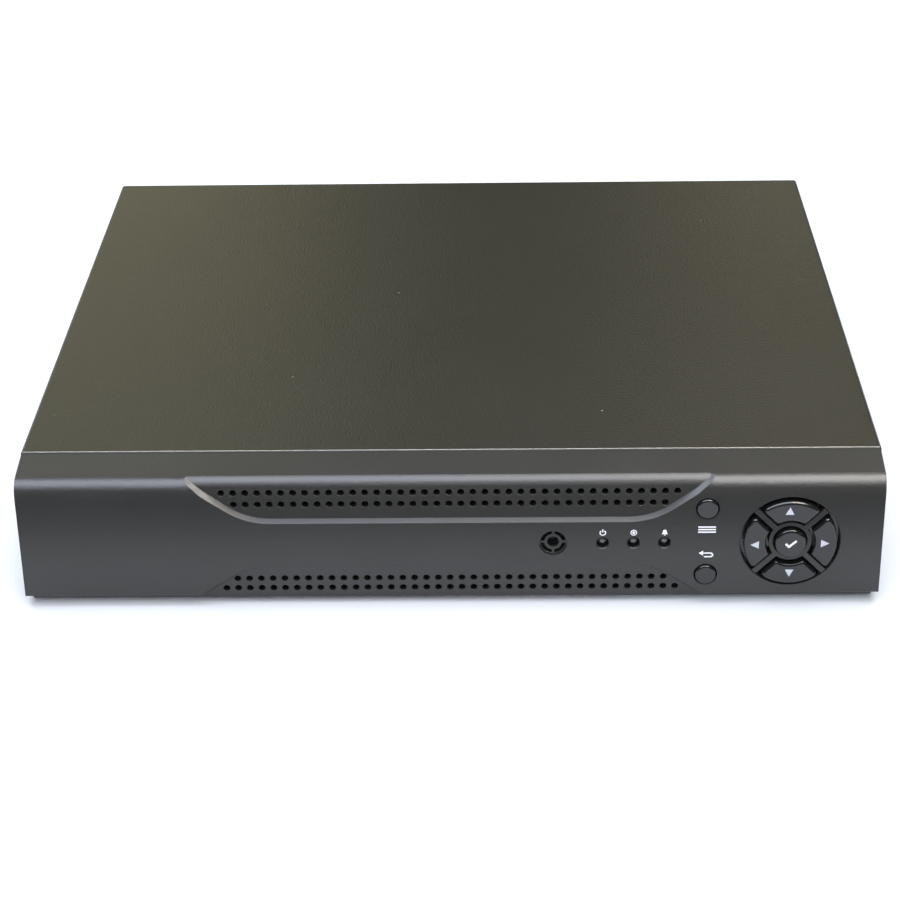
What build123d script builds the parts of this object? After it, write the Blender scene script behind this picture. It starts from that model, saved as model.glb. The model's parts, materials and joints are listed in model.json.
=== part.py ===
"""Four-channel video recorder: folded steel case, moulded front bezel with push keys, boards, drive and fan.

Frame: millimetres, +Z up, front face towards -Y, origin at the middle of the bounding box's underside.
Depths (v) are measured back from the front face, drops down from the bezel's top, heights (z) from the table.
"""

import os

from build123d import *

# ---------------------------------------------------------------- driving dimensions
case_width = 256.2
case_depth = 238.0  # front face to the cover's rear lip
case_height = 42.0  # table to the top of the cover
sheet = 0.8  # steel sheet of tray and cover
foot_height = 2.2  # how far the feet hold the tray off the table
bezel_depth = 20.0
jack_reach = 11.0  # the coaxial jacks stand this far out of the rear
ok_proud = 2.1  # the middle key stands this far out of the front
front_y = -(case_depth + jack_reach - ok_proud) / 2
tray_under = foot_height
tray_top = tray_under + sheet
cover_gap = 0.15  # seam between bezel and cover

# Bezel
bezel_top = case_height - 0.3
bezel_drop = 37.9  # height of the bezel's front face
bezel_half = case_width / 2 - 0.45
side_draft = 1.0  # each side leans in by this towards the front
front_round = 5.0  # along the top of the front face
wall = 2.4  # thickness of the front wall
skin = 2.0  # top, bottom and side walls
inner_half = bezel_half - side_draft - skin
lip_under = 2.4  # underside of the bezel's bottom wall above the table
lip_setback = 1.8
tray_front = bezel_depth + 0.3

# Vent recesses in the front face: (drop of the long edge, its half width, slope of the ends, 1 up or -1 down)
upper_recess = (13.4, 59.5, 0.71, 1)
lower_recess = (27.5, 58.8, 0.65, -1)
recess_bend = 22.0  # radius between the long edge and a slanting end
edge_draft = 0.7  # how much a recess draws in at its long edge for each millimetre of depth
end_draft = 0.6  # and at its slanting ends
upper_flare = (2.2, 0.36)  # above this drop the upper recess's ends run out with this flatter slope
brow_radius = 4.2  # where the upper recess runs out over the top
brow = -0.08  # just above the top, so that the brow's arc crosses it cleanly
upper_floor = ((1.2, 16.0), (2.0, brow), (8.0, brow), (8.0, -3.0), (-1.5, -3.0), (-1.5, 16.0))
lower_floor = ((-1.5, 25.3), (0.0, 25.3), (1.8, 41.0), (-1.5, 41.0))
hole_pitch = 3.5
hole_radius = 1.0
hole_rows = ((4.1, 39), (7.8, 37), (32.3, 37), (35.8, 39))  # drop and number of holes

# Keys and lamps
menu_at = (75.3, 9.1)
esc_at = (75.3, 31.2)
pad_at = (99.7, 20.15)
small_key_radius = 3.15
small_hole_radius = 3.45
ok_radius = 4.65
ok_hole_radius = 5.05
ring_outer = 6.3
pad_radius = 14.6
pad_groove = 0.15  # shallow groove along the pad's edge, this far to each side of it
pad_groove_depth = 0.5
spoke_half = 0.85
sector_inner = 7.1
sector_outer = 13.65
sector_half_gap = 1.45  # an arrow key's sides stay this far from the diagonals
sector_centre = 10.0  # distance of an arrow key's middle from the pad's middle
key_travel = 0.5
flange_front = wall + 0.2
flange_back = flange_front + 1.0
plunger_front = 8.0
plunger_radius = 1.6
switch_front = 9.4
board_front = 13.0  # front face of the key board
pcb = 1.6
led_xs = (44.9, 53.95, 63.0)
led_drop = 20.4
led_hole_radius = 1.75
receiver_x = 30.4
boss_places = ((23.5, 27.5), (23.5, 13.3), (120.2, 33.0), (120.2, 8.0))
lug_xs = (-95.0, 0.0, 95.0)

# Rear of the case and main board
rear_out = case_depth - sheet - 0.1
rear_in = rear_out - sheet
tray_half = case_width / 2 - sheet - 0.3
flange_top = tray_top + 10.0
board_under = tray_top + 5.0
board_top = board_under + pcb
board_v = (142.0, 234.8)
board_x = (-90.0, 118.0)
jack_end = case_depth + jack_reach
bnc_xs = (56.0, 73.0, 90.0, 107.0)
bnc_z = board_top + 7.4
audio_xs = (27.0, 39.0)
audio_z = board_top + 6.2
vga_x = 2.0
vga_z = board_top + 6.4
vga_pitch = 25.0  # between the two jack screws
hdmi_x = -30.0
usb_x = -49.0
network_x = -68.5
power_x = -85.5
power_z = board_top + 6.4
fan_x = -108.0
fan_z = 19.4
fan_size = 30.0
fan_depth = 10.0
fan_bore = 14.0
shaft_radius = 0.75
fan_front = rear_in - fan_depth
fan_hole = fan_size / 2 - 3.0  # screw holes, from the middle
ribbon_x = 81.0

# Hard drive, 3.5 inch: 147 long, 101.6 wide and 26.1 high
drive_x = (-118.0, 29.0)
drive_v = (36.0, 137.6)
drive_z = (tray_top + 3.0, tray_top + 29.1)
drive_hole_xs = (drive_x[1] - 41.28, drive_x[1] - 85.73)
drive_hole_vs = (drive_v[0] + 3.18, drive_v[1] - 3.18)

# Fasteners
screw_hole = 1.6
side_screw_vs = (58.0, 216.0)
side_screw_z = 9.0
rear_screw_xs = (-70.0, 20.0, 110.0)
rear_screw_z = 38.0
rear_lip = 7.4  # height of the cover's rear lip
standoff_places = ((-84, 148), (14, 148), (112, 148), (-84, 192), (14, 205), (112, 205))


# ---------------------------------------------------------------- helpers
def upright(depth, base=0.0):
    """Sketch plane facing forward at a depth behind the front face, its origin at height base."""
    return Plane(origin=(0, front_y + depth, base), x_dir=(1, 0, 0), z_dir=(0, -1, 0))


def slab(x_range, v_range, z_range, mode=Mode.ADD):
    """Box between limits in x, depth and height."""
    (x0, x1), (v0, v1), (z0, z1) = x_range, v_range, z_range
    with Locations(((x0 + x1) / 2, front_y + (v0 + v1) / 2, (z0 + z1) / 2)):
        Box(x1 - x0, v1 - v0, z1 - z0, mode=mode)


def rod(x, z, radius, v_range, mode=Mode.ADD):
    """Cylinder lying front to back."""
    v0, v1 = v_range
    with Locations(Location((x, front_y + (v0 + v1) / 2, z), (90, 0, 0))):
        Cylinder(radius, v1 - v0, mode=mode)


def post(x, v, radius, z_range, mode=Mode.ADD):
    """Upright cylinder."""
    z0, z1 = z_range
    with Locations((x, front_y + v, (z0 + z1) / 2)):
        Cylinder(radius, z1 - z0, mode=mode)


def around(middle, size):
    """Lower and upper limit of a span about its middle."""
    return (middle - size / 2, middle + size / 2)


def height(drop):
    """Height above the table of a drop below the bezel's top."""
    return bezel_top - drop


def write_piece(piece, label):
    """Labels a finished piece and writes its file."""
    piece.label = label
    export_step(piece, f"parts/{label}.step")


os.makedirs("parts", exist_ok=True)


# ---------------------------------------------------------------- front bezel
def recess_cutter(recess, profile, rounding, flare=None):
    """Space that a vent recess takes away: drafted walls, and a floor from (depth, drop) points."""
    edge, half, slope, sense = recess
    lean = slope / (1 + slope**2) ** 0.5
    reach = 17.0
    with BuildPart() as cutter:
        for depth in (-1.0, 6.0):
            long_y = -edge + sense * edge_draft * depth
            base = half - end_draft * depth / lean
            bend = base + edge_draft * depth / slope
            side = [(bend, long_y)]
            far = base + reach / slope
            far_y = -edge + sense * reach
            if flare:
                knee_y = -flare[0]
                knee = bend + (knee_y - long_y) / slope
                side.append((knee, knee_y))
                far = knee + (far_y - knee_y) / flare[1]
            side.append((far, far_y))
            other_side = [(-x, y) for x, y in reversed(side)]
            with BuildSketch(upright(depth, bezel_top)):
                with BuildLine():
                    FilletPolyline(*other_side, *side, radius=recess_bend)
                    Line((far, far_y), (-far, far_y))
                make_face()
        loft(ruled=True)
        with BuildSketch(Plane.YZ):
            with BuildLine():
                Polyline(*[(front_y + v, height(drop)) for v, drop in profile], close=True)
            make_face()
            if rounding:
                corner = (front_y + profile[1][0], height(profile[1][1]))
                fillet(vertices().sort_by_distance(corner)[0], radius=rounding)
        extrude(amount=90, both=True, mode=Mode.INTERSECT)
    return cutter.part


def pad_sector(inner, outer, half_gap):
    """Upper quarter of a ring, its sides held off the diagonals."""
    reach = 2 * outer
    start = half_gap * 2**0.5
    with BuildSketch() as sector:
        Circle(outer)
        Circle(inner, mode=Mode.SUBTRACT)
        Polygon((0, start), (reach, start + reach), (-reach, start + reach), align=None, mode=Mode.INTERSECT)
    return sector.sketch


def recess_ground(recess, back):
    """Thickens the front wall behind a vent recess."""
    edge, half, slope, sense = recess
    inner_y = -edge - sense * 1.6
    outer_y = -1.0 if sense > 0 else 0.5 - bezel_drop
    near = half + 2.5
    far = near + abs(outer_y - inner_y) / slope
    with BuildSketch(upright(wall - 0.1, bezel_top)) as ground:
        Polygon((-far, outer_y), (-near, inner_y), (near, inner_y), (far, outer_y), align=None)
    extrude(ground.sketch, amount=wall - 0.1 - back)


small_keys = (menu_at, esc_at)
with BuildPart() as bezel:
    for depth, half in ((0, bezel_half - side_draft), (bezel_depth, bezel_half)):
        with BuildSketch(upright(depth, bezel_top)):
            with Locations((0, -bezel_drop / 2)):
                Rectangle(2 * half, bezel_drop)
    loft(ruled=True)
    face_edges = edges().group_by(Axis.Y)[0]
    fillet(face_edges.sort_by(Axis.Z)[-1], radius=front_round)
    fillet(edges().group_by(Axis.Y)[0].sort_by(Axis.Z)[0], radius=0.7)
    slab((-inner_half, inner_half), (lip_setback, bezel_depth), (lip_under, height(bezel_drop) + 0.6))
    hollow_z = (lip_under + skin, bezel_top - skin)
    slab((-inner_half, inner_half), (wall, bezel_depth + 1), hollow_z, Mode.SUBTRACT)
    recess_ground(upper_recess, 4.4)
    recess_ground(lower_recess, 3.6)
    for x, drop in small_keys:
        rod(x, height(drop), small_key_radius + 1.6, (wall, 6.0), Mode.SUBTRACT)
    add(recess_cutter(upper_recess, upper_floor, brow_radius, upper_flare), mode=Mode.SUBTRACT)
    add(recess_cutter(lower_recess, lower_floor, 0), mode=Mode.SUBTRACT)
    # vent holes
    with BuildSketch(upright(-1, bezel_top)):
        for drop, count in hole_rows:
            with Locations((0, -drop)):
                with GridLocations(hole_pitch, 0, count, 1):
                    Circle(hole_radius)
    extrude(amount=-8, mode=Mode.SUBTRACT)
    # lamp holes, small key holes, middle key hole
    for x in led_xs:
        rod(x, height(led_drop), led_hole_radius, (-1, wall + 1), Mode.SUBTRACT)
    circles = edges().filter_by(GeomType.CIRCLE)
    lamp_rims = circles.filter_by(lambda edge: abs(edge.radius - led_hole_radius) < 0.01)
    chamfer(lamp_rims.group_by(Axis.Y)[0], length=0.3)
    for x, drop in small_keys:
        rod(x, height(drop), small_hole_radius, (-1, wall + 1), Mode.SUBTRACT)
    rod(pad_at[0], height(pad_at[1]), ok_hole_radius, (-1, wall + 1), Mode.SUBTRACT)
    # openings of the arrow keys, with a ring and four spokes left between them
    with BuildSketch(upright(-1, height(pad_at[1]))):
        with Locations((pad_at[0], 0)):
            for turn in range(4):
                add(pad_sector(ring_outer, pad_radius, spoke_half), rotation=90 * turn)
    extrude(amount=-(wall + 2), mode=Mode.SUBTRACT)
    with BuildSketch(upright(-1, height(pad_at[1]))):
        with Locations((pad_at[0], 0)):
            Circle(pad_radius + pad_groove)
            Circle(pad_radius - pad_groove, mode=Mode.SUBTRACT)
    extrude(amount=-(1 + pad_groove_depth), mode=Mode.SUBTRACT)
    # receiver grille: a shallow dish with four arc slots and a middle hole
    rod(receiver_x, height(led_drop), 4.05, (-1, 1.0), Mode.SUBTRACT)
    with BuildSketch(upright(0.5, height(led_drop))):
        with Locations((receiver_x, 0)):
            Circle(3.7)
            Circle(2.65, mode=Mode.SUBTRACT)
            Rectangle(9, 0.8, mode=Mode.SUBTRACT)
            Rectangle(0.8, 9, mode=Mode.SUBTRACT)
            Circle(1.72)
    extrude(amount=-3, mode=Mode.SUBTRACT)
    # tongue under the cover, bosses of the key board, lugs screwed to the tray
    slab((-122, 122), (bezel_depth - 2, bezel_depth + 4), (bezel_top - skin - 0.3, bezel_top - 0.9))
    for x, drop in boss_places:
        rod(x, height(drop), 2.8, (wall - 0.2, board_front))
        rod(x, height(drop), 1.3, (6.0, board_front + 1), Mode.SUBTRACT)
    for x in lug_xs:
        slab((x - 6, x + 6), (bezel_depth - 3, bezel_depth + 10), (tray_top, tray_top + 3.4))
        post(x, bezel_depth + 5, screw_hole, (tray_top - 1, tray_top + 4), Mode.SUBTRACT)
write_piece(bezel.part, "front_bezel")

# ---------------------------------------------------------------- cover and tray
with BuildPart() as cover:
    with BuildSketch(upright(bezel_depth + cover_gap)):
        half = case_width / 2
        with Locations((0, (case_height + tray_under + 0.4) / 2)):
            Rectangle(case_width, case_height - tray_under - 0.4)
        fillet(vertices().group_by(Axis.Z)[-1], radius=1.2)
        with Locations((0, (case_height - sheet) / 2)):
            Rectangle(case_width - 2 * sheet, case_height - sheet, mode=Mode.SUBTRACT)
    extrude(amount=-(case_depth - bezel_depth - cover_gap))
    lip_z = (case_height - rear_lip, case_height - sheet / 2)
    slab((-tray_half, tray_half), (case_depth - sheet, case_depth), lip_z)
    with BuildSketch(Plane.YZ):
        with Locations((front_y + 166, 20)):
            with GridLocations(5, 0, 14, 1):
                SlotOverall(12, 2, rotation=90)
    extrude(amount=case_width, both=True, mode=Mode.SUBTRACT)
    with BuildSketch(Plane.YZ):
        for v in side_screw_vs:
            with Locations((front_y + v, side_screw_z)):
                Circle(screw_hole)
    extrude(amount=case_width, both=True, mode=Mode.SUBTRACT)
    for x in rear_screw_xs:
        rod(x, rear_screw_z, screw_hole, (case_depth - 2, case_depth + 1), Mode.SUBTRACT)
    # bend reliefs at the two front corners
    relief_v = around(bezel_depth + cover_gap, 1.2)
    for side in (-1, 1):
        slab(around(side * half, 1.4), relief_v, (case_height - 2.2, case_height + 1), Mode.SUBTRACT)
write_piece(cover.part, "top_cover")

with BuildPart() as tray:
    slab((-tray_half, tray_half), (tray_front, rear_out), (tray_under, tray_top))
    slab((-tray_half, tray_half), (rear_in, rear_out), (tray_under, case_height - 1.1))
    slab((-tray_half, tray_half), (rear_in - 9, rear_out), (case_height - 1.1 - sheet, case_height - 1.1))
    slab((-tray_half, tray_half), (tray_front, tray_front + sheet), (tray_under, flange_top))
    for side in (-1, 1):
        inner = side * (tray_half - sheet)
        slab(sorted((inner, side * tray_half)), (tray_front, rear_out), (tray_under, flange_top))
    for x in lug_xs:
        slab(around(x, 14), (tray_front - 1, tray_front + 1.5), (tray_top, flange_top + 1), Mode.SUBTRACT)
        post(x, bezel_depth + 5, screw_hole, (0, tray_top + 1), Mode.SUBTRACT)
    for x in drive_hole_xs:
        for v in drive_hole_vs:
            post(x, v, 5.0, (tray_under, drive_z[0]))
            post(x, v, 4.2, (tray_under - 1, drive_z[0] - sheet), Mode.SUBTRACT)
            post(x, v, 1.9, (tray_under, drive_z[0] + 1), Mode.SUBTRACT)
    with BuildSketch(Plane.XY):
        with Locations((sum(drive_x) / 2, front_y + sum(drive_v) / 2)):
            with GridLocations(9, 26, 8, 2):
                SlotOverall(16, 3, rotation=90)
    extrude(amount=tray_top + 1, mode=Mode.SUBTRACT)
    with BuildSketch(Plane.YZ):
        for v in side_screw_vs:
            with Locations((front_y + v, side_screw_z)):
                Circle(screw_hole)
    extrude(amount=case_width, both=True, mode=Mode.SUBTRACT)
    for x, v in standoff_places:
        post(x, v, screw_hole, (0, tray_top + 1), Mode.SUBTRACT)
    # openings of the rear wall
    with BuildSketch(upright(rear_in - 1)):
        for x in bnc_xs:
            with Locations((x, bnc_z)):
                Circle(6.5)
        for x in audio_xs:
            with Locations((x, audio_z)):
                Circle(4.6)
        with Locations((vga_x, vga_z)):
            RectangleRounded(18.4, 9.8, 2.0)
            with GridLocations(vga_pitch, 0, 2, 1):
                Circle(2.2)
        with Locations((hdmi_x, board_top + 3.0)):
            Rectangle(15.8, 6.6)
        with Locations((usb_x, board_top + 7.9)):
            Rectangle(15.2, 16.6)
        with Locations((network_x, board_top + 6.8)):
            Rectangle(16.6, 14.2)
        with Locations((power_x, power_z)):
            Circle(4.4)
        for x in rear_screw_xs:
            with Locations((x, rear_screw_z)):
                Circle(screw_hole)
        with Locations((fan_x, fan_z)):
            Circle(13.2)
            Circle(9.6, mode=Mode.SUBTRACT)
            Circle(8.2)
            Circle(4.6, mode=Mode.SUBTRACT)
            Rectangle(30, 1.6, mode=Mode.SUBTRACT)
            Rectangle(1.6, 30, mode=Mode.SUBTRACT)
            with GridLocations(2 * fan_hole, 2 * fan_hole, 2, 2):
                Circle(screw_hole)
    extrude(amount=-3, mode=Mode.SUBTRACT)
write_piece(tray.part, "bottom_tray")

with BuildPart() as feet:
    with BuildSketch(Plane.XY.offset(foot_height)):
        with Locations((0, front_y + 130)):
            with GridLocations(210, 176, 2, 2):
                Circle(7.5)
    extrude(amount=-foot_height, taper=8)
write_piece(feet.part, "rubber_feet")


# ---------------------------------------------------------------- screws
def screw_blank(head_radius, head_height, shank_radius, length):
    """Cross-head screw with its seat at the origin, its head above and its shank below."""
    with BuildPart() as screw:
        with BuildSketch(Plane.XY):
            Circle(head_radius)
        extrude(amount=head_height)
        fillet(edges().group_by(Axis.Z)[-1], radius=head_height * 0.45)
        with BuildSketch(Plane.XY.offset(head_height)):
            Rectangle(head_radius * 1.2, 0.6)
            Rectangle(0.6, head_radius * 1.2)
        extrude(amount=-head_height * 0.6, mode=Mode.SUBTRACT)
        with BuildSketch(Plane.XY):
            Circle(shank_radius)
        extrude(amount=-length)
    return screw.part


facing_up, facing_down, facing_back = (0, 0, 0), (180, 0, 0), (-90, 0, 0)
facing_left, facing_right = (0, -90, 0), (0, 90, 0)

case_screw = screw_blank(2.8, 1.3, 1.45, 3.4)
with BuildPart() as case_screws:
    for side, facing in ((-1, facing_left), (1, facing_right)):
        for v in side_screw_vs:
            with Locations(Location((side * case_width / 2, front_y + v, side_screw_z), facing)):
                add(case_screw)
    for x in rear_screw_xs:
        with Locations(Location((x, front_y + case_depth, rear_screw_z), facing_back)):
            add(case_screw)
    for x in lug_xs:
        with Locations(Location((x, front_y + bezel_depth + 5, tray_under), facing_down)):
            add(case_screw)
write_piece(case_screws.part, "case_screws")

drive_screw = screw_blank(2.9, 1.6, 1.65, 5.0)
with BuildPart() as drive_screws:
    for x in drive_hole_xs:
        for v in drive_hole_vs:
            with Locations(Location((x, front_y + v, drive_z[0] - sheet), facing_down)):
                add(drive_screw)
write_piece(drive_screws.part, "drive_screws")

board_screw = screw_blank(2.4, 1.3, 1.2, 4.8)
with BuildPart() as board_screws:
    for x, v in standoff_places:
        with Locations(Location((x, front_y + v, board_top), facing_up)):
            add(board_screw)
    for x, drop in boss_places:
        with Locations(Location((x, front_y + board_front + pcb, height(drop)), facing_back)):
            add(board_screw)
write_piece(board_screws.part, "board_screws")

fan_screw = screw_blank(2.6, 1.3, 1.3, 8.0)
fan_corners = [(fan_x + i * fan_hole, fan_z + k * fan_hole) for i in (-1, 1) for k in (-1, 1)]
with BuildPart() as fan_screws:
    for x, z in fan_corners:
        with Locations(Location((x, front_y + rear_out, z), facing_back)):
            add(fan_screw)
write_piece(fan_screws.part, "fan_screws")


# ---------------------------------------------------------------- keys
def stem(x, z):
    """Stem at the back of a key, which meets the switch's plunger."""
    rod(x, z, 1.3, (flange_back - 0.1, plunger_front))


def small_key(at):
    """Round key with a soft rim and a retaining flange."""
    x, z = at[0], height(at[1])
    with BuildPart() as key:
        with BuildSketch(upright(flange_back, z)):
            with Locations((x, 0)):
                Circle(small_key_radius)
        extrude(amount=flange_back + 0.8)
        fillet(edges().group_by(Axis.Y)[0], radius=0.75)
        rod(x, z, small_key_radius + 1.2, (flange_front, flange_back))
        stem(x, z)
    return key.part


def arrow_key(turn):
    """Quarter of the pad with its cap, flange and stem; turn counts quarters anticlockwise from the top."""
    z = height(pad_at[1])
    place = Plane(origin=(pad_at[0], front_y, z), x_dir=(1, 0, 0), z_dir=(0, -1, 0))
    with BuildPart() as key:
        with BuildSketch(place.offset(-flange_back)):
            add(pad_sector(sector_inner, sector_outer, sector_half_gap), rotation=90 * turn)
            fillet(vertices(), radius=1.15)
        extrude(amount=flange_back + 1.5)
        fillet(edges().group_by(Axis.Y)[0], radius=1.0)
        with BuildSketch(place.offset(-flange_back)):
            add(pad_sector(5.95, 15.3, 0.5), rotation=90 * turn)
        extrude(amount=flange_back - flange_front)
        dx, dz = ((0, 1), (-1, 0), (0, -1), (1, 0))[turn]
        stem(pad_at[0] + dx * sector_centre, z + dz * sector_centre)
    return key.part


with BuildPart() as ok_key:
    ok_z = height(pad_at[1])
    with BuildSketch(upright(flange_back, ok_z)):
        with Locations((pad_at[0], 0)):
            Circle(ok_radius)
    extrude(amount=flange_back + ok_proud)
    fillet(edges().group_by(Axis.Y)[0], radius=1.0)
    rod(pad_at[0], ok_z, 5.6, (flange_front, flange_back))
    stem(pad_at[0], ok_z)

arrow_names = ("up", "left", "down", "right")
key_places = {
    "up": (pad_at[0], pad_at[1] - sector_centre),
    "left": (pad_at[0] - sector_centre, pad_at[1]),
    "down": (pad_at[0], pad_at[1] + sector_centre),
    "right": (pad_at[0] + sector_centre, pad_at[1]),
    "ok": pad_at,
    "menu": menu_at,
    "esc": esc_at,
}
for turn, name in enumerate(arrow_names):
    write_piece(arrow_key(turn), f"{name}_key")
write_piece(ok_key.part, "ok_key")
write_piece(small_key(menu_at), "menu_key")
write_piece(small_key(esc_at), "esc_key")

bore_floor = switch_front + 0.4 + 2 * key_travel
for name, (x, drop) in key_places.items():
    with BuildPart() as plunger:
        rod(x, height(drop), plunger_radius, (plunger_front, switch_front + 0.4))
    write_piece(plunger.part, f"{name}_plunger")

with BuildPart() as switches:
    for x, drop in key_places.values():
        z = height(drop)
        slab(around(x, 6), (switch_front, board_front), around(z, 6))
        rod(x, z, plunger_radius + 0.08, (switch_front - 1, bore_floor), Mode.SUBTRACT)
write_piece(switches.part, "switch_bodies")

# ---------------------------------------------------------------- key board
with BuildPart() as key_board:
    slab((19.5, 123.5), (board_front, board_front + pcb), (6.0, 38.4))
    for x, drop in boss_places:
        rod(x, height(drop), screw_hole, (board_front - 1, board_front + 3), Mode.SUBTRACT)
write_piece(key_board.part, "key_board")

led_tip, led_base = 1.0, 6.4
with BuildPart() as leds:
    for x in led_xs:
        with BuildSketch(Plane(origin=(x, front_y, height(led_drop)), x_dir=(1, 0, 0), z_dir=(0, 0, 1))):
            with BuildLine():
                Line((0, led_base), (1.9, led_base))
                Line((1.9, led_base), (1.9, led_base - 0.8))
                Line((1.9, led_base - 0.8), (1.5, led_base - 0.8))
                Line((1.5, led_base - 0.8), (1.5, led_tip + 1.5))
                RadiusArc((1.5, led_tip + 1.5), (0, led_tip), 1.5, short_sagitta=True)
                Line((0, led_tip), (0, led_base))
            make_face()
        revolve(axis=Axis((x, front_y, height(led_drop)), (0, 1, 0)))
write_piece(leds.part, "status_leds")

with BuildPart() as led_spacers:
    for x in led_xs:
        rod(x, height(led_drop), 2.2, (led_base, board_front))
write_piece(led_spacers.part, "led_spacers")

with BuildPart() as receiver:
    z = height(led_drop)
    slab(around(receiver_x, 6.0), (5.6, 9.6), around(z, 7.0))
    with Locations((receiver_x, front_y + 5.8, z)):
        Sphere(2.2)
    for x in (-2.54, 0, 2.54):
        slab(around(receiver_x + x, 0.5), (9.5, board_front), around(z, 0.5))
write_piece(receiver.part, "infrared_receiver")

ribbon_z = 18.0
header_v = 156.0
with BuildPart() as ribbon_headers:
    slab(around(ribbon_x, 22), (board_front + pcb, board_front + pcb + 8), around(ribbon_z, 8.6))
    slab(around(ribbon_x, 22), around(header_v, 8.6), (board_top, board_top + 8))
write_piece(ribbon_headers.part, "ribbon_headers")

with BuildPart() as ribbon:
    plug_v = board_front + pcb + 8
    slab(around(ribbon_x, 20), (plug_v, plug_v + 4), around(ribbon_z, 6))
    slab(around(ribbon_x, 20), around(header_v, 6), (board_top + 8, board_top + 12))
    with BuildSketch(Plane.YZ.offset(ribbon_x)):
        with BuildLine():
            route = [(plug_v + 3.9, ribbon_z), (38, ribbon_z), (50, 5), (128, 5), (142, 28), (header_v, 28)]
            route.append((header_v, board_top + 11.9))
            FilletPolyline(*[(front_y + v, z) for v, z in route], radius=3)
        trace(line_width=0.9)
    extrude(amount=9, both=True)
write_piece(ribbon.part, "front_ribbon")

# ---------------------------------------------------------------- main board
with BuildPart() as main_board:
    slab(board_x, board_v, (board_under, board_top))
    for x, v in standoff_places:
        post(x, v, screw_hole, (board_under - 1, board_top + 1), Mode.SUBTRACT)
write_piece(main_board.part, "main_board")

with BuildPart() as standoffs:
    for x, v in standoff_places:
        with BuildSketch(Plane.XY.offset(tray_top)):
            with Locations((x, front_y + v)):
                RegularPolygon(3.0, 6)
                Circle(1.35, mode=Mode.SUBTRACT)
        extrude(amount=board_under - tray_top)
write_piece(standoffs.part, "board_standoffs")

chip_at = (-20.0, 180.0)
with BuildPart() as processor:
    slab(around(chip_at[0], 23), around(chip_at[1], 23), (board_top, board_top + 2))
write_piece(processor.part, "processor")

with BuildPart() as heat_sink:
    slab(around(chip_at[0], 32), around(chip_at[1], 30), (board_top + 2, board_top + 4))
    with Locations((chip_at[0], front_y + chip_at[1], board_top + 7.9)):
        with GridLocations(3.86, 0, 9, 1):
            Box(1.1, 30, 8)
write_piece(heat_sink.part, "heat_sink")

with BuildPart() as memory_chips:
    for x in (-50, 10):
        for v in (170, 188):
            slab(around(x, 9), around(v, 13), (board_top, board_top + 1.2))
write_piece(memory_chips.part, "memory_chips")

with BuildPart() as decoders:
    for x in (64.5, 98.5):
        slab(around(x, 14), around(200, 14), (board_top, board_top + 1.4))
write_piece(decoders.part, "video_decoders")

with BuildPart() as capacitors:
    for x in (-80, -69):
        for v in (160, 172, 184):
            with BuildSketch(Plane.XY.offset(board_top)):
                with Locations((x, front_y + v)):
                    Circle(4)
            extrude(amount=9)
write_piece(capacitors.part, "capacitors")

with BuildPart() as transformer:
    slab((-75.5, -61.5), around(209, 13), (board_top, board_top + 6))
write_piece(transformer.part, "network_transformer")

cell_at = (48.0, 172.0)
with BuildPart() as cell_holder:
    post(*cell_at, 11.6, (board_top, board_top + 4.4))
    post(*cell_at, 10.2, (board_top + 1, board_top + 5), Mode.SUBTRACT)
write_piece(cell_holder.part, "cell_holder")

with BuildPart() as coin_cell:
    post(*cell_at, 10.0, (board_top + 1, board_top + 4.2))
write_piece(coin_cell.part, "coin_cell")

with BuildPart() as buzzer:
    post(28, 184, 6, (board_top, board_top + 7.5))
    post(28, 184, 1, (board_top + 6, board_top + 8), Mode.SUBTRACT)
write_piece(buzzer.part, "buzzer")

data_x, supply_x = 50.0, 62.0
cable_z = (board_top + 0.8, board_top + 6.4)
with BuildPart() as drive_headers:
    for x in (data_x, supply_x):
        slab(around(x, 8), (144, 152), (board_top, board_top + 7.4))
write_piece(drive_headers.part, "drive_headers")


def drive_cable(x, v, thickness, plug_width):
    """Flat cable standing on edge from the drive's end to the main board, with a plug at each end."""
    plug_end = drive_x[1] + 12
    with BuildPart() as cable:
        slab((drive_x[1] + 0.1, plug_end), around(v, plug_width), cable_z)
        slab(around(x, 7), (134, 144), cable_z)
        with BuildSketch(Plane.XY.offset(cable_z[0])):
            with BuildLine():
                route = [(plug_end - 0.1, v), (x, v), (x, 134.1)]
                FilletPolyline(*[(px, front_y + pv) for px, pv in route], radius=6)
            trace(line_width=thickness)
        extrude(amount=cable_z[1] - cable_z[0])
    return cable.part


write_piece(drive_cable(data_x, 96, 1.3, 12), "drive_data_cable")
write_piece(drive_cable(supply_x, 74, 2.0, 22), "drive_supply_cable")

# ---------------------------------------------------------------- hard drive
with BuildPart() as casting:
    slab(drive_x, drive_v, (drive_z[0], drive_z[1] - 1))
    fillet(edges().filter_by(Axis.Z), radius=3)
    inside = ((drive_x[0] + 6, drive_x[1] - 12), (drive_v[0] + 8, drive_v[1] - 8))
    slab(*inside, (drive_z[0] + 8, drive_z[1]), Mode.SUBTRACT)
    slab((-70, drive_x[1] + 1), (50, 124), (drive_z[0] - 1, drive_z[0] + 3.4), Mode.SUBTRACT)
    slab((22, drive_x[1] + 1), (60, 106), (drive_z[0], cable_z[1] + 1), Mode.SUBTRACT)
    for x in drive_hole_xs:
        for v in drive_hole_vs:
            post(x, v, 1.8, (drive_z[0] - 1, drive_z[0] + 6), Mode.SUBTRACT)
write_piece(casting.part, "drive_casting")

with BuildPart() as drive_lid:
    slab(drive_x, drive_v, (drive_z[1] - 1, drive_z[1]))
    fillet(edges().filter_by(Axis.Z), radius=3)
write_piece(drive_lid.part, "drive_lid")

with BuildPart() as drive_board:
    slab((-69, 28), (51, 123), (drive_z[0] + 1, drive_z[0] + 2.6))
    slab((22.5, drive_x[1]), (61, 105), (drive_z[0] + 2.6, cable_z[1]))
write_piece(drive_board.part, "drive_board")

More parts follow.
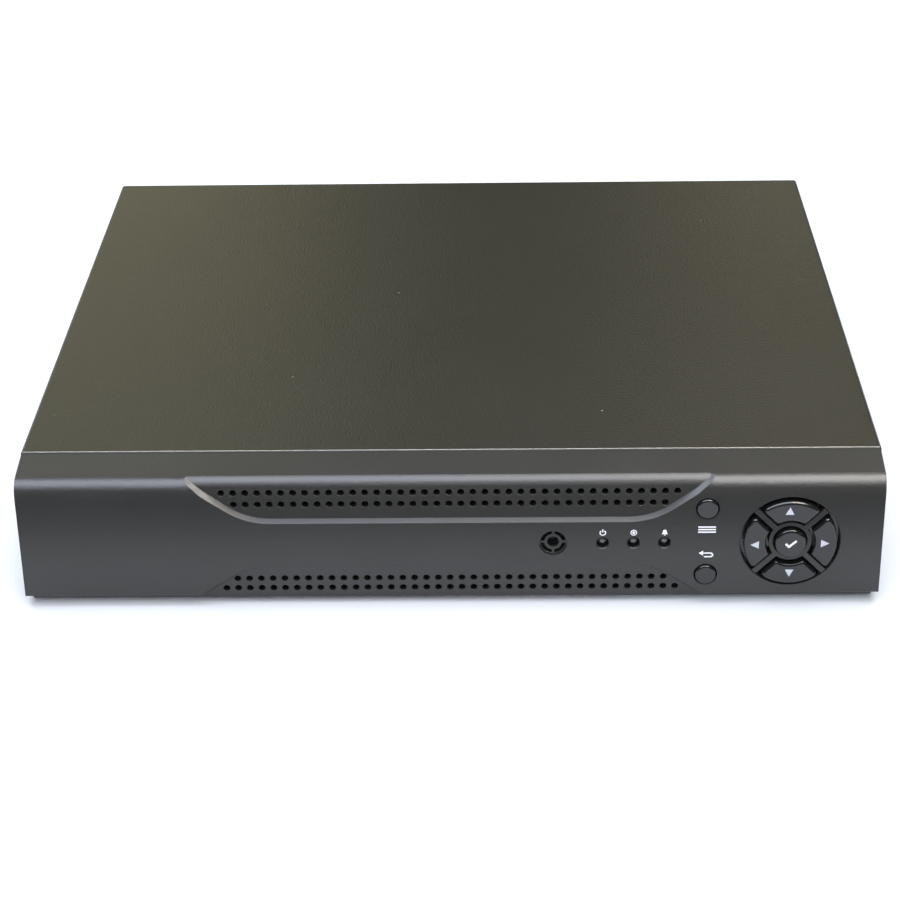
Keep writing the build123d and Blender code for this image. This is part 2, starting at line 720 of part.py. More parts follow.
# ---------------------------------------------------------------- rear sockets
bnc_mouth = 4.05
with BuildPart() as video_jacks:
    for x in bnc_xs:
        rod(x, bnc_z, 4.8, (rear_in - 4, jack_end))
        with BuildSketch(upright(rear_out + 2.4, bnc_z)):
            with Locations((x, 0)):
                RegularPolygon(7.0, 6)
        extrude(amount=2.3)
        rod(x, bnc_z, 6.3, (rear_in - 4, rear_out))
        with Locations(Location((x, front_y + jack_end - 5, bnc_z))):
            Cylinder(1.0, 2 * 5.7)
        rod(x, bnc_z, bnc_mouth, (rear_in - 2, jack_end + 1), Mode.SUBTRACT)
        slab(around(x, 14.5), (rear_in - 14, rear_in - 3.5), (board_top, bnc_z + 7.2))
write_piece(video_jacks.part, "video_jacks")

with BuildPart() as jack_insulators:
    for x in bnc_xs:
        rod(x, bnc_z, bnc_mouth - 0.05, (rear_in - 2, rear_in))
        rod(x, bnc_z, 2.4, (rear_in - 2, jack_end - 2))
        rod(x, bnc_z, 0.95, (rear_in - 1, jack_end), Mode.SUBTRACT)
write_piece(jack_insulators.part, "video_jack_insulators")

with BuildPart() as jack_contacts:
    for x in bnc_xs:
        rod(x, bnc_z, 0.9, (rear_in - 1, jack_end - 2.6))
        rod(x, bnc_z, 0.55, (jack_end - 8, jack_end), Mode.SUBTRACT)
write_piece(jack_contacts.part, "video_jack_contacts")

with BuildPart() as audio_jacks:
    for x in audio_xs:
        slab(around(x, 11), (rear_in - 12, rear_in), (board_top, audio_z + 6))
        rod(x, audio_z, 4.15, (rear_in - 1, rear_out + 9))
        rod(x, audio_z, 1.65, (rear_in - 8, rear_out + 10), Mode.SUBTRACT)
write_piece(audio_jacks.part, "audio_jacks")


def d_outline(rim):
    """Outline of the monitor socket's collar, drawn in by a rim."""
    half, low, tall = 8.5 - rim, 7.6 - rim, 4.15 - rim
    with BuildSketch() as outline:
        Polygon((-half, tall), (-low, -tall), (low, -tall), (half, tall), align=None)
        fillet(vertices(), radius=1.8 - rim)
    return outline.sketch


vga_rim = 0.5
with BuildPart() as vga_shell:
    slab(around(vga_x, 30.8), (rear_in - 0.9, rear_in), (vga_z - 6.2, vga_z + 6.2))
    with BuildSketch(upright(rear_out + 5.2, vga_z)):
        with Locations((vga_x, 0)):
            add(d_outline(0))
    extrude(amount=5.2 + sheet + 0.4)
    with BuildSketch(upright(rear_out + 6, vga_z)):
        with Locations((vga_x, 0)):
            add(d_outline(vga_rim))
    extrude(amount=8, mode=Mode.SUBTRACT)
    for side in (-1, 1):
        rod(vga_x + side * vga_pitch / 2, vga_z, 1.7, (rear_in - 2, rear_in + 1), Mode.SUBTRACT)
write_piece(vga_shell.part, "vga_shell")

with BuildPart() as vga_insert:
    slab(around(vga_x, 19), (rear_in - 12, rear_in - 0.95), (board_top, vga_z + 4.6))
    with BuildSketch(upright(rear_out + 4.7, vga_z)):
        with Locations((vga_x, 0)):
            add(d_outline(vga_rim + 0.05))
    extrude(amount=4.7 + sheet + 1.2)
    for dz, shift in ((1.98, -0.6), (0, 0.6), (-1.98, -0.6)):
        for column in range(5):
            hole_x = vga_x + shift + (column - 2) * 2.29
            rod(hole_x, vga_z + dz, 0.45, (rear_out - 1, rear_out + 6), Mode.SUBTRACT)
write_piece(vga_insert.part, "vga_insert")

with BuildPart() as jack_screws:
    for side in (-1, 1):
        x = vga_x + side * vga_pitch / 2
        with BuildSketch(upright(rear_out + 5, vga_z)):
            with Locations((x, 0)):
                RegularPolygon(2.7, 6)
        extrude(amount=4.9)
        rod(x, vga_z, 1.55, (rear_in - 4, rear_out + 1))
        rod(x, vga_z, 1.42, (rear_out - 2, rear_out + 6), Mode.SUBTRACT)
write_piece(jack_screws.part, "vga_jack_screws")

with BuildPart() as hdmi_socket:
    slab(around(hdmi_x, 15), (rear_in - 11, rear_out + 0.8), (board_top, board_top + 6.0))
    slab(around(hdmi_x, 14.0), (rear_in - 7, rear_out + 1), (board_top + 0.7, board_top + 5.3), Mode.SUBTRACT)
    slab(around(hdmi_x, 11.6), (rear_in - 7.5, rear_out - 0.5), around(board_top + 3.3, 1.0))
write_piece(hdmi_socket.part, "hdmi_socket")

usb_levels = (board_top + 4.0, board_top + 11.8)
with BuildPart() as usb_sockets:
    slab(around(usb_x, 14.4), (rear_in - 16, rear_out + 0.8), (board_top, board_top + 15.8))
    for level in usb_levels:
        slab(around(usb_x, 12.9), (rear_in - 12, rear_out + 1), around(level, 5.3), Mode.SUBTRACT)
        slab(around(usb_x, 11.4), (rear_in - 12.5, rear_out - 0.4), around(level + 1.2, 1.9))
write_piece(usb_sockets.part, "usb_sockets")

network_mouth = (board_top + 2.6, board_top + 10.6)
with BuildPart() as network_socket:
    slab(around(network_x, 15.9), (rear_in - 16, rear_out + 0.8), (board_top, board_top + 13.4))
    slab(around(network_x, 11.8), (rear_in - 12, rear_out + 1), network_mouth, Mode.SUBTRACT)
    latch_z = (board_top + 1.0, board_top + 2.7)
    slab(around(network_x, 6.2), (rear_in - 12, rear_out + 1), latch_z, Mode.SUBTRACT)
write_piece(network_socket.part, "network_socket")

with BuildPart() as power_jack:
    slab(around(power_x, 9), (rear_in - 13, rear_in), (board_top, board_top + 11))
    rod(power_x, power_z, 4.2, (rear_in - 1, rear_out + 0.8))
    rod(power_x, power_z, 2.85, (rear_in - 9, rear_out + 2), Mode.SUBTRACT)
    rod(power_x, power_z, 1.0, (rear_in - 9.5, rear_out))
write_piece(power_jack.part, "power_jack")

# ---------------------------------------------------------------- fan
rotor_v = (fan_front + 2.1, rear_in - 1.0)
with BuildPart() as fan_frame:
    slab(around(fan_x, fan_size), (fan_front, rear_in), around(fan_z, fan_size))
    fillet(edges().filter_by(Axis.Y), radius=2.5)
    rod(fan_x, fan_z, fan_bore, (fan_front - 1, rear_in + 1), Mode.SUBTRACT)
    rod(fan_x, fan_z, 5.5, (fan_front, fan_front + 1.5))
    for turn in (45, 135):
        with Locations(Location((fan_x, front_y + fan_front + 0.75, fan_z), (0, turn, 0))):
            Box(2 * fan_bore + 1, 1.5, 1.8)
    rod(fan_x, fan_z, shaft_radius, (fan_front + 1.4, fan_front + 7))
    for x, z in fan_corners:
        rod(x, z, screw_hole, (fan_front - 1, rear_in + 1), Mode.SUBTRACT)
write_piece(fan_frame.part, "fan_frame")

with BuildPart() as fan_rotor:
    rod(fan_x, fan_z, 6.0, rotor_v)
    for blade in range(7):
        with Locations(Location((fan_x, front_y + sum(rotor_v) / 2, fan_z), (0, blade * 360 / 7, 0))):
            with Locations(Location((9.3, 0, 0), (35, 0, 0))):
                Box(7.6, 6.6, 1.0)
    rod(fan_x, fan_z, shaft_radius + 0.08, (rotor_v[0] - 1, rotor_v[0] + 5.4), Mode.SUBTRACT)
write_piece(fan_rotor.part, "fan_rotor")

lead_z = board_top + 3
with BuildPart() as fan_lead:
    slab((-84, -77.5), (203, 209), (board_top, board_top + 6))
    with BuildSketch(Plane.XY.offset(lead_z)):
        with BuildLine():
            route = [(-95, fan_front), (-95, 206), (-83.9, 206)]
            FilletPolyline(*[(x, front_y + v) for x, v in route], radius=6)
        trace(line_width=1.6)
    extrude(amount=1.6)
write_piece(fan_lead.part, "fan_lead")
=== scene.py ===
import json
import math

import bmesh
import bpy
from mathutils import Matrix, Vector

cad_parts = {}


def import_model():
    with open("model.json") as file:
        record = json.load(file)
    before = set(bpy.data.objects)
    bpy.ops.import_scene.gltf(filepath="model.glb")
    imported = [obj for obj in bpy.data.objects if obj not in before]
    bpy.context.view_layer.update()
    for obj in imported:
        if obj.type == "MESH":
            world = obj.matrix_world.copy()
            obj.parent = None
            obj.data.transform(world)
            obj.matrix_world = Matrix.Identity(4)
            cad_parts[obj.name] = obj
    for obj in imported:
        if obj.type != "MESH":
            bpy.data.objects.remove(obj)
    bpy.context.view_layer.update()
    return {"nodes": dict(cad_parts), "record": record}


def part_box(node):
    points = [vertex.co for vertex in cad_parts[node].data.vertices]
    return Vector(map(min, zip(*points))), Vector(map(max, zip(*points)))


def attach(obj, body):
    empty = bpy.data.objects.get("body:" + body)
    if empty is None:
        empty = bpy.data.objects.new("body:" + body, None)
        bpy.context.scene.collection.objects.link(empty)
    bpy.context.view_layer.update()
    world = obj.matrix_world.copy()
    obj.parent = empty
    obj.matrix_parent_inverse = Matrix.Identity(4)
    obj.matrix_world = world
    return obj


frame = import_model()
nodes = frame["nodes"]
MM = 0.001

# ---------------------------------------------------------------- places, read from the frame
bezel_low, bezel_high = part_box("front_bezel")
cover_low, cover_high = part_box("top_cover")
front_y = bezel_low.y
bezel_top = bezel_high.z
cover_front = cover_low.y
cover_top = cover_high.z

# ---------------------------------------------------------------- sizes that shading, marks and floor need
bow_from = 8 * MM  # above this height the bezel's front leans back, more and more
bow_to = bezel_top - 5 * MM  # up to the start of its rounded top edge
bow_fade = 2.3 * MM  # the lean then fades out over this height
bow_rate = 7.2  # lean per metre of height, halved
paint_edge = 0.35 * MM  # softened edges of painted sheet, shown by shading
mould_edge = 0.3 * MM  # and of the moulded front
ink = 0.04 * MM  # thickness of the printed marks
legend_rise = 3.4 * MM  # from a lamp's middle up to its mark
menu_mark_drop = 7.0 * MM
esc_mark_rise = 6.7 * MM
lamp_half = 1.9 * MM
floor_radius = 1.5


# ---------------------------------------------------------------- materials
class Finish:
    """A material under construction: its node tree, its shader and short ways to add and join nodes."""

    def __init__(self, name, color, roughness, metallic=0.0):
        self.material = bpy.data.materials.new(name)
        self.material.use_nodes = True
        self.nodes = self.material.node_tree.nodes
        self.links = self.material.node_tree.links
        self.shader = self.nodes["Principled BSDF"]
        self.shader.inputs["Base Color"].default_value = (*color, 1.0)
        self.shader.inputs["Roughness"].default_value = roughness
        self.shader.inputs["Metallic"].default_value = metallic
        coordinates = self.nodes.new("ShaderNodeTexCoord")
        self.place = coordinates.outputs["Object"]

    def node(self, kind, **settings):
        new = self.nodes.new(kind)
        for key, value in settings.items():
            setattr(new, key, value)
        return new

    def join(self, source, target):
        self.links.new(source, target)

    def noise(self, size, detail=3.0, stretch=(1, 1, 1)):
        """Noise value whose grains are about size metres across, drawn out along an axis by stretch."""
        mapping = self.node("ShaderNodeMapping")
        mapping.inputs["Scale"].default_value = [1.0 / (size * s) for s in stretch]
        texture = self.node("ShaderNodeTexNoise")
        texture.inputs["Scale"].default_value = 1.0
        texture.inputs["Detail"].default_value = detail
        self.join(self.place, mapping.inputs["Vector"])
        self.join(mapping.outputs["Vector"], texture.inputs["Vector"])
        return texture.outputs["Fac"]

    def specks(self, spacing, size):
        """1 inside sparse round specks, 0 elsewhere."""
        texture = self.node("ShaderNodeTexVoronoi")
        texture.inputs["Scale"].default_value = 1.0 / spacing
        self.join(self.place, texture.inputs["Vector"])
        return self.band(texture.outputs["Distance"], 1.4 * size / spacing, size / spacing)

    def band(self, value, low, high):
        """0 at low, 1 at high and beyond, straight in between; low may be above high."""
        spread = self.node("ShaderNodeMapRange")
        spread.inputs["From Min"].default_value = low
        spread.inputs["From Max"].default_value = high
        self.join(value, spread.inputs["Value"])
        return spread.outputs["Result"]

    def stretch(self, value, low, high):
        """How far the value has come past low, held at 0 below it and at high - low above high."""
        return self.math("MINIMUM", self.math("MAXIMUM", self.math("SUBTRACT", value, low), 0.0), high - low)

    def axis(self, name):
        """One coordinate of the surface point, in metres."""
        split = self.node("ShaderNodeSeparateXYZ")
        self.join(self.place, split.inputs["Vector"])
        return split.outputs[name]

    def math(self, operation, *values):
        node = self.node("ShaderNodeMath", operation=operation)
        for socket, value in zip(node.inputs, values):
            if isinstance(value, (int, float)):
                socket.default_value = value
            else:
                self.join(value, socket)
        return node.outputs["Value"]

    def mix(self, factor, first, second):
        """Colour mix; first and second are colours or sockets."""
        node = self.node("ShaderNodeMix", data_type="RGBA")
        self.join(factor, node.inputs["Factor"])
        for name, value in (("A", first), ("B", second)):
            socket = next(s for s in node.inputs if s.name == name and s.type == "RGBA")
            if isinstance(value, tuple):
                socket.default_value = (*value, 1.0)
            else:
                self.join(value, socket)
        return next(s for s in node.outputs if s.type == "RGBA")

    def color(self, socket):
        self.join(socket, self.shader.inputs["Base Color"])

    def roughness(self, value, low, high):
        spread = self.node("ShaderNodeMapRange")
        spread.inputs["To Min"].default_value = low
        spread.inputs["To Max"].default_value = high
        self.join(value, spread.inputs["Value"])
        self.join(spread.outputs["Result"], self.shader.inputs["Roughness"])

    def bump(self, value, height, edge=0.0):
        """Bump of the given height in metres, over edges softened by a radius in metres."""
        node = self.node("ShaderNodeBump")
        node.inputs["Distance"].default_value = height
        node.inputs["Strength"].default_value = 1.0
        self.join(value, node.inputs["Height"])
        if edge:
            soft = self.node("ShaderNodeBevel", samples=4)
            soft.inputs["Radius"].default_value = edge
            self.join(soft.outputs["Normal"], node.inputs["Normal"])
        self.join(node.outputs["Normal"], self.shader.inputs["Normal"])

    def shine(self, level):
        self.shader.inputs["Specular IOR Level"].default_value = level


def shade(color, factor):
    """The colour made lighter or darker, held at white."""
    return tuple(min(1.0, c * factor) for c in color)


def moulded(name, color, roughness, grain=0.4 * MM, height=0.02 * MM, uneven=0.12, edge=0.0, shine=0.5):
    """Moulded plastic with a fine spark-eroded grain and slightly uneven gloss."""
    finish = Finish(name, color, roughness)
    fine = finish.noise(grain, 2.0)
    broad = finish.noise(30 * MM)
    finish.color(finish.mix(fine, shade(color, 0.8), shade(color, 1.25)))
    finish.roughness(broad, roughness - uneven / 2, roughness + uneven / 2)
    finish.bump(fine, height, edge)
    finish.shine(shine)
    return finish.material


def bezel_plastic():
    """Grained black plastic; the front's very slight bow is given by leaning its upper part back."""
    base, gloss = (0.0125, 0.0120, 0.0106), 0.43
    finish = Finish("bezel_plastic", base, gloss)
    fine = finish.noise(0.5 * MM, 2.0)
    coarse = finish.noise(1.4 * MM, 2.0)
    finish.color(finish.mix(fine, shade(base, 0.55), shade(base, 1.5)))
    finish.roughness(finish.noise(30 * MM), gloss - 0.05, gloss + 0.05)
    # the bow falls back by bow_rate times the rise squared, then straight on, fading over the rounded edge
    z = finish.axis("Z")
    rise = finish.stretch(z, bow_from, bow_to)
    past = finish.stretch(z, bow_to, bow_to + bow_fade)
    rise_squared = finish.math("MULTIPLY", rise, rise)
    past_squared = finish.math("MULTIPLY", past, past)
    eased = finish.math("SUBTRACT", past, finish.math("MULTIPLY", past_squared, 0.5 / bow_fade))
    lean = finish.math("MULTIPLY", eased, 2 * (bow_to - bow_from))
    bow = finish.math("MULTIPLY", finish.math("ADD", rise_squared, lean), -bow_rate)
    relief = 0.045 * MM
    grain = finish.math("MULTIPLY", finish.math("ADD", fine, coarse), relief)
    finish.bump(finish.math("ADD", bow, grain), 1.0, edge=mould_edge)
    finish.shine(0.68)
    return finish.material


def plated(name, color, roughness, grain=(0.15 * MM, (1, 12, 1)), height=0.004 * MM):
    """Bare or plated metal with fine drawn lines and a faint tarnish."""
    finish = Finish(name, color, roughness, metallic=1.0)
    lines = finish.noise(grain[0], 2.0, grain[1])
    tarnish = finish.noise(6 * MM, 4.0)
    finish.color(finish.mix(finish.band(tarnish, 0.35, 0.8), color, shade(color, 0.62)))
    finish.roughness(tarnish, roughness * 0.7, roughness * 1.5)
    finish.bump(lines, height)
    return finish.material


def tray_paint():
    """Smooth powder coat on the tray, with a few scuffs."""
    base = (0.022, 0.021, 0.019)
    finish = Finish("tray_paint", base, 0.42)
    grain = finish.noise(0.8 * MM, 2.0)
    scuffs = finish.band(finish.noise(3 * MM, 4.0, (1, 1, 7)), 0.62, 0.78)
    painted = finish.mix(grain, shade(base, 0.7), shade(base, 1.4))
    finish.color(finish.mix(scuffs, painted, shade(base, 2.2)))
    finish.roughness(finish.noise(40 * MM), 0.38, 0.48)
    finish.bump(grain, 0.05 * MM, edge=0.25 * MM)
    finish.shine(0.5)
    return finish.material


def cover_paint():
    """Fine powder coat over steel with sparse dust on it, and on the front cut edge bare metal in a light
    colour that is partly a painted highlight of the edge.
    """
    base = (0.0190, 0.0172, 0.0112)
    finish = Finish("cover_paint", base, 0.37)
    grain = finish.noise(0.7 * MM, 3.0)
    broad = finish.noise(60 * MM, 4.0)
    painted = finish.mix(grain, shade(base, 0.5), shade(base, 1.6))
    dust = finish.specks(15 * MM, 0.24 * MM)
    dusty = finish.mix(finish.math("MULTIPLY", dust, 0.8), painted, (0.45, 0.43, 0.38))
    # the front cut edge and the first fifth of a millimetre behind it get a light bare-metal colour: partly
    # bare metal, partly a painted highlight of the rounded edge
    depth = finish.math("SUBTRACT", finish.axis("Y"), cover_front)
    edge = finish.band(depth, 0.22 * MM, 0.08 * MM)
    bare_edge_and_highlight = finish.math("MULTIPLY", edge, 0.85)
    finish.color(finish.mix(bare_edge_and_highlight, dusty, (0.62, 0.60, 0.56)))
    finish.join(finish.math("MULTIPLY", bare_edge_and_highlight, 0.8), finish.shader.inputs["Metallic"])
    finish.roughness(broad, 0.30, 0.37)
    finish.bump(grain, 0.15 * MM, edge=paint_edge)
    finish.shine(0.6)
    return finish.material


def circuit_board():
    """Green solder mask with a mesh of tracks and tinned pads."""
    finish = Finish("circuit_board", (0.01, 0.11, 0.05), 0.3)
    tracks = finish.noise(1.6 * MM, 0.0, (1, 6, 1))
    lanes = finish.band(tracks, 0.50, 0.54)
    mask = finish.mix(lanes, (0.008, 0.10, 0.045), (0.02, 0.17, 0.07))
    pads = finish.specks(4.5 * MM, 0.5 * MM)
    finish.color(finish.mix(pads, mask, (0.65, 0.64, 0.60)))
    finish.roughness(lanes, 0.26, 0.38)
    finish.bump(lanes, 0.02 * MM)
    return finish.material


def lamp_resin():
    """Smoky clear resin of an unlit lamp."""
    finish = Finish("lamp_resin", (0.05, 0.05, 0.055), 0.08)
    haze = finish.noise(0.8 * MM)
    finish.color(finish.mix(haze, (0.035, 0.035, 0.04), (0.09, 0.09, 0.095)))
    finish.shader.inputs["Coat Weight"].default_value = 1.0
    finish.shader.inputs["Coat Roughness"].default_value = 0.04
    return finish.material


def printed_ink(name, color):
    """Screen-printed ink, slightly thin in places."""
    finish = Finish(name, color, 0.5)
    wear = finish.noise(0.25 * MM, 2.0)
    finish.color(finish.mix(wear, shade(color, 0.9), shade(color, 1.1)))
    finish.bump(wear, 0.004 * MM)
    return finish.material


smooth = {"height": 0.004 * MM, "edge": 0.2 * MM, "shine": 0.6}
cast_grain = (0.5 * MM, (1, 1, 1))  # size of a grain, and how far it is drawn out along X, Y and Z
brushed = (0.12 * MM, (25, 1, 1))
palette = {
    "bezel_plastic": bezel_plastic(),
    "key_plastic": moulded("key_plastic", (0.008, 0.008, 0.0085), 0.17, **smooth),
    "cover_paint": cover_paint(),
    "tray_paint": tray_paint(),
    "rubber": moulded("rubber", (0.02, 0.02, 0.02), 0.75, grain=0.9 * MM, height=0.03 * MM),
    "black_screw": plated("black_screw", (0.06, 0.06, 0.065), 0.35),
    "steel_screw": plated("steel_screw", (0.48, 0.48, 0.48), 0.28),
    "switch_nylon": moulded("switch_nylon", (0.05, 0.05, 0.05), 0.5),
    "white_nylon": moulded("white_nylon", (0.70, 0.70, 0.66), 0.5),
    "circuit_board": circuit_board(),
    "lamp_resin": lamp_resin(),
    "chip_resin": moulded("chip_resin", (0.018, 0.018, 0.019), 0.55, grain=0.2 * MM),
    "socket_black": moulded("socket_black", (0.015, 0.015, 0.016), 0.42),
    "ribbon_grey": moulded("ribbon_grey", (0.35, 0.35, 0.36), 0.5, grain=1.27 * MM, height=0.1 * MM),
    "fin_aluminium": plated("fin_aluminium", (0.65, 0.66, 0.68), 0.35),
    "cast_aluminium": plated("cast_aluminium", (0.42, 0.42, 0.43), 0.5, cast_grain, 0.03 * MM),
    "drive_steel": plated("drive_steel", (0.62, 0.62, 0.63), 0.25, brushed),
    "brass": plated("brass", (0.72, 0.52, 0.20), 0.25),
    "gold": plated("gold", (0.90, 0.66, 0.26), 0.18),
    "nickel": plated("nickel", (0.60, 0.59, 0.56), 0.20),
    "tin": plated("tin", (0.58, 0.58, 0.58), 0.28),
    "vga_blue": moulded("vga_blue", (0.015, 0.05, 0.26), 0.42),
    "cable_red": moulded("cable_red", (0.35, 0.015, 0.012), 0.45),
    "cable_black": moulded("cable_black", (0.015, 0.015, 0.016), 0.45),
    "legend_ink": printed_ink("legend_ink", (0.76, 0.77, 0.81)),
    "arrow_ink": printed_ink("arrow_ink", (0.48, 0.49, 0.54)),
}

# finishes of the slots that aren't named like their finish
slot_finish = {
    "black_abs": "bezel_plastic",
    "foot_rubber": "rubber",
    "screw_black": "black_screw",
    "screw_steel": "steel_screw",
    "can_aluminium": "fin_aluminium",
    "brass_hex": "brass",
    "drive_cast": "cast_aluminium",
    "tin_shell": "tin",
}
for part in frame["record"]["subparts"]:
    node = nodes[part["node"]]
    slot = part["material_slot"]
    node.data.materials.clear()
    node.data.materials.append(palette[slot_finish.get(slot, slot)])


# ---------------------------------------------------------------- printed marks
def prism(name, outlines, place, thickness, body, finish):
    """Flat piece made from closed outlines in millimetres, standing out of the front by its thickness.

    An outline's x runs right and its y up, from a place given as (x, y of the surface, z) in metres.
    """
    mesh = bmesh.new()
    left, surface, base = place
    for outline in outlines:
        points = [(left + x * MM, base + y * MM) for x, y in outline]
        front = [mesh.verts.new((x, surface - thickness, z)) for x, z in points]
        back = [mesh.verts.new((x, surface, z)) for x, z in points]
        mesh.faces.new(front)
        mesh.faces.new(list(reversed(back)))
        for i in range(len(front)):
            j = (i + 1) % len(front)
            mesh.faces.new((front[i], back[i], back[j], front[j]))
    bmesh.ops.recalc_face_normals(mesh, faces=mesh.faces)
    data = bpy.data.meshes.new(name)
    mesh.to_mesh(data)
    mesh.free()
    piece = bpy.data.objects.new(name, data)
    bpy.context.collection.objects.link(piece)
    piece.data.materials.append(palette[finish])
    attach(piece, body)
    return piece


def arc(radius, start, end, steps, centre=(0, 0)):
    """Points on an arc, angles in degrees anticlockwise from the right."""
    turns = [math.radians(start + (end - start) * i / steps) for i in range(steps + 1)]
    return [(centre[0] + radius * math.cos(t), centre[1] + radius * math.sin(t)) for t in turns]


def ring(outer, inner, start=0, end=360, centre=(0, 0), steps=32):
    """Outlines of a ring or an open part of one, as short four-sided pieces."""
    far, near = arc(outer, start, end, steps, centre), arc(inner, start, end, steps, centre)
    return [[near[i], far[i], far[i + 1], near[i + 1]] for i in range(steps)]


def bar(x0, x1, y0, y1):
    """Outline of a level rectangle."""
    return [(x0, y0), (x1, y0), (x1, y1), (x0, y1)]


def middle(node):
    """Middle of a CAD node's box."""
    low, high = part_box(node)
    return (low + high) / 2


def triangle(turn, half_base=1.25, tall=2.45):
    """Outline of an arrow that points up, turned anticlockwise by turn degrees."""
    points = [(-half_base, -tall / 2), (half_base, -tall / 2), (0, tall / 2)]
    a = math.radians(turn)
    return [(x * math.cos(a) - y * math.sin(a), x * math.sin(a) + y * math.cos(a)) for x, y in points]


ok_middle = middle("ok_key")
ok_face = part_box("ok_key")[0].y
# middles of the arrows, in millimetres right of and above the pad's middle
arrow_places = {"up": (-0.7, 10.9), "left": (-10.5, -0.35), "down": (0.0, -10.0), "right": (10.0, 0.0)}
for name, turn in (("up", 0), ("left", 90), ("down", 180), ("right", 270)):
    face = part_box(f"{name}_key")[0].y
    across, up = arrow_places[name]
    place = (ok_middle.x + across * MM, face, ok_middle.z + up * MM)
    prism(f"{name}_arrow", [triangle(turn)], place, ink, f"{name}_button", "arrow_ink")

# the marks' outlines, in millimetres about each mark's own middle
tick = [(-1.75, 0.05), (-1.30, 0.50), (-0.55, -0.28), (1.35, 1.45), (1.80, 1.0), (-0.55, -1.20)]
prism("ok_tick", [tick], (ok_middle.x, ok_face, ok_middle.z), ink, "ok_button", "legend_ink")

led_low, led_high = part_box("status_leds")
led_z = (led_low.z + led_high.z) / 2
led_xs = (led_low.x + lamp_half, (led_low.x + led_high.x) / 2, led_high.x - lamp_half)
legend_z = led_z + legend_rise
power_mark = ring(0.95, 0.66, 125, 415) + [bar(-0.15, 0.15, 0.1, 1.15)]
record_mark = ring(0.95, 0.70) + ring(0.42, 0.0, steps=16)
bell = [(-0.95, -0.55), (0.95, -0.55), (0.62, -0.1)] + arc(0.60, 0, 180, 12, (0, 0.32)) + [(-0.62, -0.1)]
alarm_mark = [bell, bar(-0.24, 0.24, -0.95, -0.68)]
for name, x, marks in zip(("power", "record", "alarm"), led_xs, (power_mark, record_mark, alarm_mark)):
    prism(f"{name}_mark", marks, (x, front_y, legend_z), ink, "case", "legend_ink")

menu_middle, esc_middle = middle("menu_key"), middle("esc_key")
menu_mark = [bar(-2.6, 2.6, y - 0.22, y + 0.22) for y in (-0.85, 0.0, 0.85)]
menu_place = (menu_middle.x, front_y, menu_middle.z - menu_mark_drop)
prism("menu_mark", menu_mark, menu_place, ink, "case", "legend_ink")
arrow_head = [(-2.2, 0.48), (-0.9, -0.35), (-0.9, 1.31)]
back_mark = [bar(-1.0, 1.3, 0.28, 0.68), bar(-0.6, 1.3, -0.95, -0.55), arrow_head]
back_mark += ring(0.815, 0.415, -90, 90, (1.3, -0.135), 16)
esc_place = (esc_middle.x, front_y, esc_middle.z + esc_mark_rise)
prism("esc_mark", back_mark, esc_place, ink, "case", "legend_ink")


# ---------------------------------------------------------------- floor, light and camera
def floor():
    """Round pale floor, its edge outside the camera's view."""
    mesh = bmesh.new()
    bmesh.ops.create_circle(mesh, cap_ends=True, radius=floor_radius, segments=128)
    data = bpy.data.meshes.new("floor")
    mesh.to_mesh(data)
    mesh.free()
    piece = bpy.data.objects.new("floor", data)
    bpy.context.collection.objects.link(piece)
    finish = Finish("floor_paper", (0.82, 0.84, 0.90), 0.9)
    finish.shine(0.1)
    finish.shader.inputs["Emission Color"].default_value = (0.95, 0.97, 1.0, 1.0)
    finish.shader.inputs["Emission Strength"].default_value = 0.03
    piece.data.materials.append(finish.material)


def softbox(name, place, target, size, power, color, fill=False):
    """Lamp seen only in reflections, or a fill that lights surfaces but isn't seen in them."""
    light = bpy.data.lights.new(name, "AREA")
    light.shape = "RECTANGLE"
    light.size, light.size_y = size
    light.energy = power
    light.color = color
    lamp = bpy.data.objects.new(name, light)
    lamp.location = place
    lamp.rotation_euler = (Vector(target) - Vector(place)).to_track_quat("-Z", "Y").to_euler()
    lamp.visible_diffuse = fill
    lamp.visible_glossy = not fill
    bpy.context.collection.objects.link(lamp)


def world(color, strength, backdrop):
    """Even surroundings, dim as a light and pale where the camera sees them past the floor's edge."""
    surroundings = bpy.data.worlds.new("studio")
    surroundings.use_nodes = True
    tree = surroundings.node_tree
    background = tree.nodes["Background"]
    background.inputs["Color"].default_value = (*color, 1.0)
    seen = tree.nodes.new("ShaderNodeLightPath")
    level = tree.nodes.new("ShaderNodeMapRange")
    level.inputs["To Min"].default_value = strength
    level.inputs["To Max"].default_value = backdrop
    tree.links.new(seen.outputs["Is Camera Ray"], level.inputs["Value"])
    tree.links.new(level.outputs["Result"], background.inputs["Strength"])
    bpy.context.scene.world = surroundings


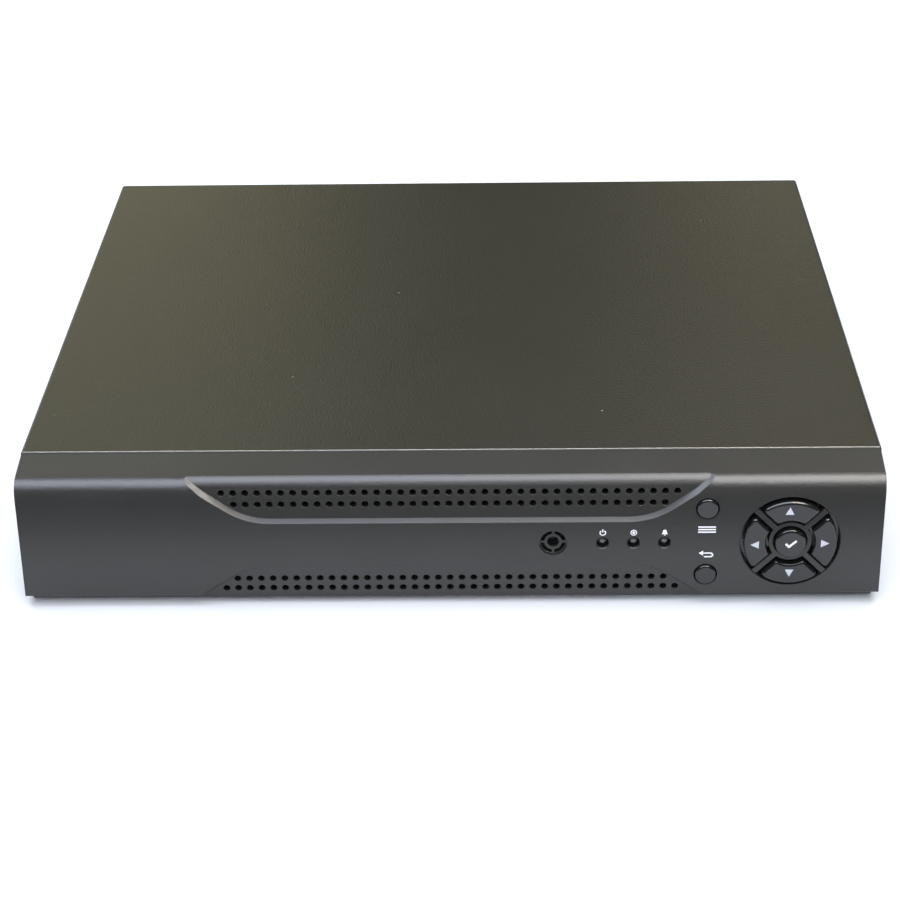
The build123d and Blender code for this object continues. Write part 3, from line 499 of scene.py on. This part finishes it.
def camera():
    """Camera from pitch, yaw and roll; its place is given from the middle of the front face's top edge."""
    pitch, yaw, roll = 0.483035, 0.0230505, -0.0170575
    place = Vector((14.287 * MM, front_y - 592.577 * MM, cover_top + 321.243 * MM))
    turn = Matrix.Rotation(roll, 3, "Y") @ Matrix.Rotation(pitch, 3, "X") @ Matrix.Rotation(-yaw, 3, "Z")
    data = bpy.data.cameras.new("camera")
    data.sensor_width = 36.0
    data.lens = 93.19
    data.clip_start, data.clip_end = 0.01, 50.0
    eye = bpy.data.objects.new("camera", data)
    right, forward, up = turn[0], turn[1], turn[2]
    eye.matrix_world = Matrix.Translation(place) @ Matrix((right, up, -forward)).transposed().to_4x4()
    bpy.context.collection.objects.link(eye)
    bpy.context.scene.camera = eye


floor()
world((0.96, 0.98, 1.0), 0.075, 1.05)
daylight, blue_sky, blue_window = (0.94, 0.97, 1.0), (0.78, 0.85, 1.0), (0.80, 0.88, 1.0)
warm_white, yellow_wall, pale_yellow_wall = (1.0, 0.93, 0.85), (1.0, 0.94, 0.58), (1.0, 0.94, 0.62)
# fills, then the lamps seen only in reflections: from above, from the left and from behind
softbox("ceiling", (0, 0.1, 2.2), (0, 0.1, 0), (3.0, 3.0), 86, daylight, fill=True)
softbox("room_front", (0, -1.5, 1.2), (0, -0.1, 0), (2.4, 1.2), 34, daylight, fill=True)
softbox("overhead_left", (-0.22, -0.16, 0.75), (-0.22, -0.16, 0), (0.74, 0.72), 11.5, blue_sky)
softbox("overhead_right", (0.35, -0.08, 0.75), (0.35, -0.08, 0), (0.38, 0.72), 11.5, warm_white)
softbox("window_left", (-1.1, 0.55, 0.95), (0, -0.05, 0), (0.6, 0.6), 14, blue_window)
softbox("wall_left", (-0.5, 1.4, 0.50), (0, 0, 0), (0.7, 0.3), 1.1, yellow_wall)
softbox("wall_right", (0.34, 1.5, 0.42), (0.1, 0, 0), (0.3, 0.25), 0.38, pale_yellow_wall)
camera()
bpy.context.scene.view_settings.view_transform = "Standard"
